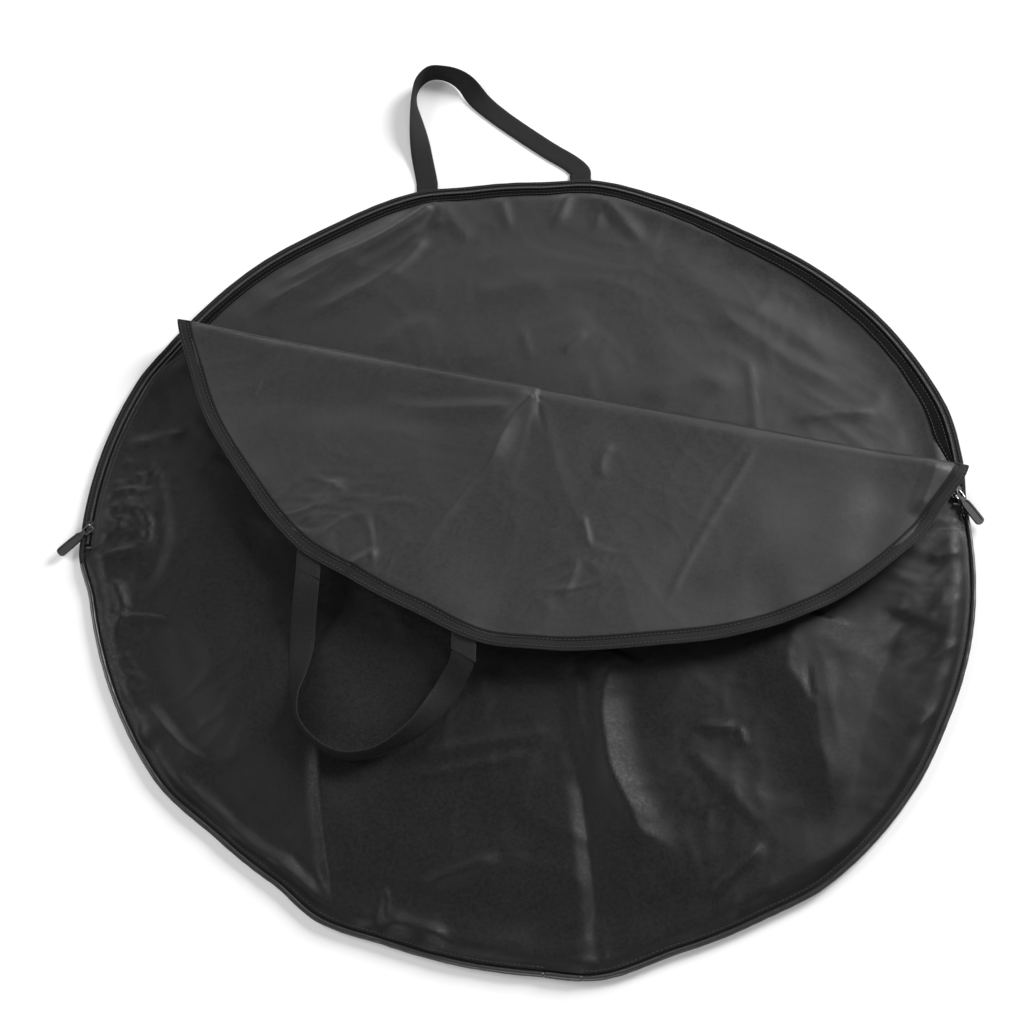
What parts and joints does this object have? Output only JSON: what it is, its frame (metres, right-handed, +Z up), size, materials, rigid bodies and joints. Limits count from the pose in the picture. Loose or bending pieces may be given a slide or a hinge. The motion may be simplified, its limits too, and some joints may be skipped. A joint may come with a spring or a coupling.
{
  "type": "bike wheel bag",
  "caption": "Round soft bag for one bicycle wheel, lying open: zipped front flap folded down, piped rim, and a webbing handle on each side.",
  "frame": {"origin": "centre of the round back panel's underside, on the surface that the bag lies on", "axes": "+Z up out of the lying bag, +Y towards the top of the bag where the handles are, +X to the right seen from above"},
  "size_m": [0.7674, 0.8732, 0.0321],
  "materials": {
    "cloth_inside": "coated inner face of woven polyester",
    "cloth_outside": "woven polyester with a slight sheen",
    "webbing": "woven strap",
    "zip_tape": "woven tape",
    "zip_coil": "nylon coil",
    "piping": "glossy flexible cord",
    "slider_metal": "black lacquered zinc",
    "link_wire": "bright wire",
    "grip": "moulded soft plastic"
  },
  "bodies": {
    "bag": {"back_panel": "cloth_inside", "front_panel": "cloth_outside", "rim_binding": "zip_tape", "rim_piping_left": "piping", "rim_piping_right": "piping", "piping_joint": "piping", "back_zip_tape": "zip_tape", "back_zip_coil": "zip_coil", "left_side_tape": "zip_tape", "left_side_coil": "zip_coil", "left_end_stop": "zip_coil", "right_end_stop": "zip_coil", "right_slider": "slider_metal", "back_handle_left_end": "webbing", "back_handle_right_end": "webbing"},
    "flap": {"front_flap": "cloth_inside", "fold_roll": "cloth_inside", "left_fold_tape": "zip_tape", "right_fold_tape": "zip_tape", "flap_zip_tape": "zip_tape", "flap_zip_coil": "zip_coil", "front_handle_left_end": "webbing", "front_handle_right_end": "webbing"},
    "back_handle": {"back_handle_loop": "webbing"},
    "front_handle": {"front_handle_loop": "webbing"},
    "left_slider_body": {"left_slider": "slider_metal"},
    "left_pull": {"left_pull_link": "link_wire", "left_pull_grip": "grip"},
    "right_pull": {"right_pull_link": "link_wire", "right_pull_grip": "grip"}
  },
  "joints": [
    {"name": "flap_fold", "type": "hinge", "parent": "bag", "child": "flap", "pos_m": [-0.31762, 0.1954, 0.018], "axis": [0.9768, -0.2141, 0], "range_deg": [-180, 0], "deforming": ["fold_roll", "left_fold_tape", "right_fold_tape"]},
    {"name": "back_handle_lift", "type": "hinge", "parent": "bag", "child": "back_handle", "pos_m": [-0.102, 0.36264, 0.0015], "axis": [0.9964, 0.0845, 0], "range_deg": [0, 95]},
    {"name": "front_handle_lift", "type": "hinge", "parent": "flap", "child": "front_handle", "pos_m": [-0.19172, -0.0467, 0.03], "axis": [-0.8697, 0.4935, 0], "range_deg": [0, 150]},
    {"name": "left_slider_travel", "type": "hinge", "parent": "bag", "child": "left_slider_body", "pos_m": [0, 0, 0.0028], "axis": [0, 0, -1], "range_deg": [0, 21]},
    {"name": "left_pull_swing", "type": "hinge", "parent": "left_slider_body", "child": "left_pull", "pos_m": [-0.36949, 0.00322, 0.0078], "axis": [-0.7071, 0.7071, 0], "range_deg": [0, 150]},
    {"name": "right_pull_swing", "type": "hinge", "parent": "bag", "child": "right_pull", "pos_m": [0.35221, 0.0364, 0.0078], "axis": [-0.866, -0.5, 0], "range_deg": [0, 80]}
  ]
}
